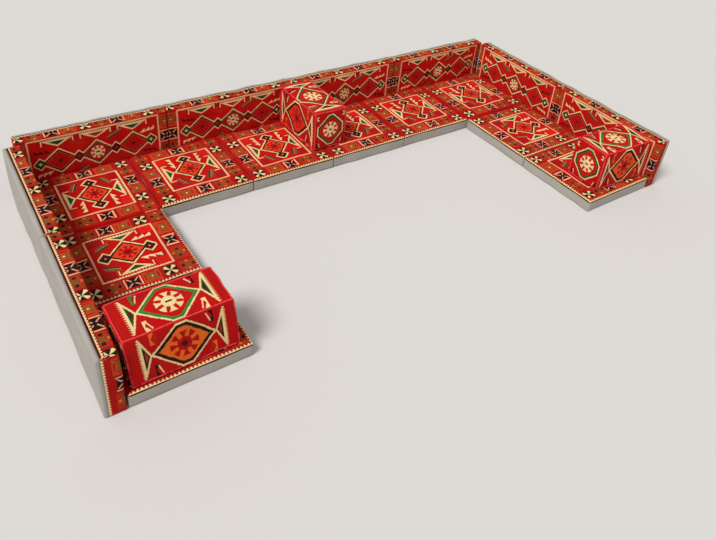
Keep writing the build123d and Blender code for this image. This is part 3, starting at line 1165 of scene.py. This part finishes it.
for number, (name, turn) in enumerate(SEATS.items()):
    place = lying(turn, foot(*space_of(name, SEAT_PARTS)))
    seat_tops[name] = dress(
        name, SEAT_PARTS, SEAT, place, SEAT_SIZE, SEAT_SEED + number, SEAT_WOOL,
        free_edges(name), pressed=1,
    )
print(len(seat_tops), "seats")

# %% [markdown]
# ## Backs
#
# Eight long cushions stand on edge round the seats, their woven side to the room. Their panel
# has teeth all round. A flat-woven kilim looks the same on both sides, and on the right backs it
# lies with its other side out, so their pattern is the other way round.

# %% Backs
# Which way each side's woven panels face, and which way their length runs
WAYS = {
    "row": ((0, -1, 0), (1, 0, 0)),
    "left": ((1, 0, 0), (0, 1, 0)),
    "right": ((-1, 0, 0), (0, -1, 0)),
}
BACKS = [f"row_back_{n}" for n in range(1, 5)]
BACKS += [f"{side}_back_{n}" for side in ("left", "right") for n in (1, 2)]
ALL_SIDES = [(0, True), (0, False), (1, True), (1, False)]
for number, name in enumerate(BACKS):
    low, high = space_of(name, BACK_PARTS)
    face, along = (Vector(way) for way in WAYS[name.split("_")[0]])
    middle = (low + high) / 2
    size, pattern = (BACK_SIZE, BACK) if name.startswith("row") else (SIDE_BACK_SIZE, SIDE_BACK)
    place = standing(face, along, middle - face * size[2] / 2)
    dress(
        name, BACK_PARTS, pattern, place, size, BACK_SEED + number, BACK_WOOL,
        ALL_SIDES, pressed=0, mirrored=name.startswith("right"),
    )
print(len(BACKS), "backs")

# %% [markdown]
# ## How a bolster settles
#
# The seats crown and the bolsters are flat below, so a bolster's lower side gives way. A ray
# goes down from each of its points to the seats, and the point follows it, less and less the
# higher it lies. A second simulation could do this too, but a ray keeps the sides as they are.

# %% Settling
SETTLED_HEIGHT = 0.07
MOST_SETTLED = 0.010
CLEAR = 0.0008
RAY_START = 0.05


def surface_of(piece):
    """The piece's surface, in a form that rays and nearest points can be found on."""
    return BVHTree.FromObject(piece, bpy.context.evaluated_depsgraph_get())


def settle(piece, seats, floor_height):
    """Lets a bolster's lower side sink onto the crowned seats."""
    grounds = [surface_of(seat_tops[name]) for name in seats]
    places = read(piece.data)
    deepest = 0
    for point in places:
        above = point[2] - floor_height
        if above > SETTLED_HEIGHT:
            continue
        start = Vector(point) + Vector((0, 0, RAY_START))
        hits = [ground.ray_cast(start, Vector((0, 0, -1)))[0] for ground in grounds]
        heights = [hit.z for hit in hits if hit]
        if heights:
            gap = min(max(floor_height - max(heights) - CLEAR, 0), MOST_SETTLED)
            point[2] -= gap * (1 - above / SETTLED_HEIGHT) ** 2
            deepest = max(deepest, gap)
    write(piece.data, places)
    return deepest


below = foot(*space_of("row_seat_4", SEAT_PARTS))
nearest = surface_of(seat_tops["row_seat_4"]).find_nearest(below)
print("the inside of a seat's top is", round(1000 * nearest[3]), "mm above the floor")

# %% [markdown]
# ## The ridges along a bolster's edges
#
# The cover is sewn with its edges folded outwards along all twelve edges. That shows as a thin
# ridge that the thread puckers, so its thickness changes from point to point. It is a tube drawn
# along the cloth itself, so that it follows every dent.

# %% Ridges
RIDGE = 0.0046
RIDGE_STEP = 0.012
RIDGE_PROUD = 0.35
PUCKER = (0.7, 1.25)


def corner_line(start, end):
    """Evenly spaced points from one corner to the next."""
    count = max(2, round((end - start).length / RIDGE_STEP))
    return [start.lerp(end, k / count) for k in range(count)]


def fold_ridges(piece, place, size, seed, body):
    """A thin ridge along the twelve edges of a bolster: a ring round each end and four lines."""
    surface = surface_of(piece)
    draw = np.random.default_rng(seed)
    inset = ARM_ROUNDING * (1 - math.sqrt(0.5)) + EASE
    x, y = size[0] / 2 - inset, size[1] / 2 - inset
    low, high = inset, size[2] - inset
    curve = bpy.data.curves.new(f"{piece.name}_ridges", "CURVE")
    curve.dimensions = "3D"
    curve.bevel_depth = RIDGE
    curve.bevel_resolution = 1
    curve.use_fill_caps = True
    ring = [(-y, low), (y, low), (y, high), (-y, high)]
    lines = []
    for end in (-x, x):
        corners = [Vector((end, *corner)) for corner in ring]
        sides = zip(corners, corners[1:] + corners[:1])
        lines.append(([point for side in sides for point in corner_line(*side)], True))
    for corner in ring:
        start, end = Vector((-x, *corner)), Vector((x, *corner))
        lines.append((corner_line(start, end) + [end], False))
    for points, closed in lines:
        line = curve.splines.new("POLY")
        line.points.add(len(points) - 1)
        line.use_cyclic_u = closed
        for target, point in zip(line.points, points):
            near = surface.find_nearest(place @ point)
            target.co = (*(near[0] + near[1] * (RIDGE * RIDGE_PROUD)), 1)
            target.radius = draw.uniform(*PUCKER)
    holder = put(curve.name, curve)
    mesh = bpy.data.meshes.new_from_object(applied(holder))
    bpy.data.objects.remove(holder)
    ridges = put(f"{body}_seam_ridges", mesh)
    mesh.materials.clear()
    mesh.materials.append(FOLDED)
    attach(ridges, body)
    return len(mesh.polygons)


steps = corner_line(Vector((0, 0, 0)), Vector((ARM_WIDTH, 0, 0)))
print("a ridge across a bolster's end has", len(steps), "puckers")

# %% [markdown]
# ## Bolsters
#
# Three tall blocks lie on the seats as arm rests: one over each front seat and one across two
# seats of the row. They were dropped in place by hand, so each lies a little askew, and the left
# one leans. All three share one cover and one weave, at three lengths.

# %% Bolsters
ARM_CELL, ARM_WRAP = 0.0145, 0.020
ARM_DENT = 0.0026


def leaning(lean):
    """Upright on its base, with a top that has settled to one side."""
    skew = Matrix.Identity(4)
    skew[0][2], skew[1][2] = lean[0] / ARM_HEIGHT, lean[1] / ARM_HEIGHT
    return skew


# Each one's length, its turn in degrees, how far its top leans, the seats below and its dye lot
ARMS = {
    "left_arm": (0.600, 1.5, (-0.020, 0.020), ("left_seat_2",), 0.0),
    "middle_arm": (0.545, 92, (0, 0), ("row_seat_3", "row_seat_4"), 0.85),
    "right_arm": (0.525, -2.5, (0, 0), ("right_seat_2",), 0.30),
}
for number, (name, (length, turn, lean, seats, lot)) in enumerate(ARMS.items()):
    size = (length, ARM_WIDTH, ARM_HEIGHT)
    pattern = template(
        f"{name}_template", size, ARM_ROUNDING, ARM_CROWN, cell=ARM_CELL, faces_apart=True,
    )
    node = f"{name}_woven_cover"
    low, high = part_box(node)
    place = lying(turn, foot(low, high))
    place @= Matrix.Translation((-lean[0] / 2, -lean[1] / 2, 0)) @ leaning(lean)
    cover = sew(
        pattern, 0, node, name, place, size, ARM_SEED + number, ARM_WOOL,
        dent=ARM_DENT,
    )
    bpy.data.meshes.remove(pattern)
    dyed = cover.data.attributes.new("dye_lot", "FLOAT", "POINT")
    dyed.data.foreach_set("value", np.full(len(cover.data.vertices), lot))
    sunk = settle(cover, seats, low.z)
    faces = fold_ridges(cover, place, size, RIDGE_SEED + number, name)
    stuff(name, place, size, wrap=ARM_WRAP)
    print(name, "settles by up to", round(sunk * 1000, 1), "mm, its ridges have", faces, "faces")

for spare in (SEAT, BACK, SIDE_BACK):
    bpy.data.meshes.remove(spare)

# %% [markdown]
# ## Floor and light
#
# A plain pale floor, a pale sky all round, and one broad soft lamp overhead for the shadows. It
# stands to the left and a little in front, so the side that faces left is the palest.

# %% Floor and light
FLOOR_REACH = 30
SKY_STRENGTH = 0.45
LAMP_STRENGTH, LAMP_WIDTH, LAMP_TILT = 2.5, 22, (10, -35)
floor_mesh = bpy.data.meshes.new("floor")
net = bmesh.new()
bmesh.ops.create_grid(net, x_segments=1, y_segments=1, size=FLOOR_REACH)
net.to_mesh(floor_mesh)
net.free()
floor = put("floor", floor_mesh)
ground = Weave("pale_floor")
named = {"Base Color": FLOOR_GREY, "Roughness": 0.9, "Specular IOR Level": 0.1}
ground.node("OutputMaterial", ground.node("BsdfPrincipled", named=named))
floor_mesh.materials.append(ground.material)
floor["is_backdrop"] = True

world = bpy.data.worlds.new("pale_sky")
bpy.context.scene.world = world
world.use_nodes = True
sky = world.node_tree.nodes["Background"]
sky.inputs["Color"].default_value = (1, 1, 1, 1)
sky.inputs["Strength"].default_value = SKY_STRENGTH
lamp_data = bpy.data.lights.new("soft_lamp", "SUN")
lamp_data.energy = LAMP_STRENGTH
lamp_data.angle = math.radians(LAMP_WIDTH)
lamp = put("soft_lamp", lamp_data)
lamp.rotation_euler = (*(math.radians(tilt) for tilt in LAMP_TILT), 0)
bpy.context.scene.view_settings.view_transform = "Standard"
print("sky", SKY_STRENGTH, "lamp", LAMP_STRENGTH)

# %% [markdown]
# ## The end
#
# The box round the dressed sofa, floor left out, is found. The dressed sofa has to be
# the size of the model.

# %% Sizes
low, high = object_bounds()
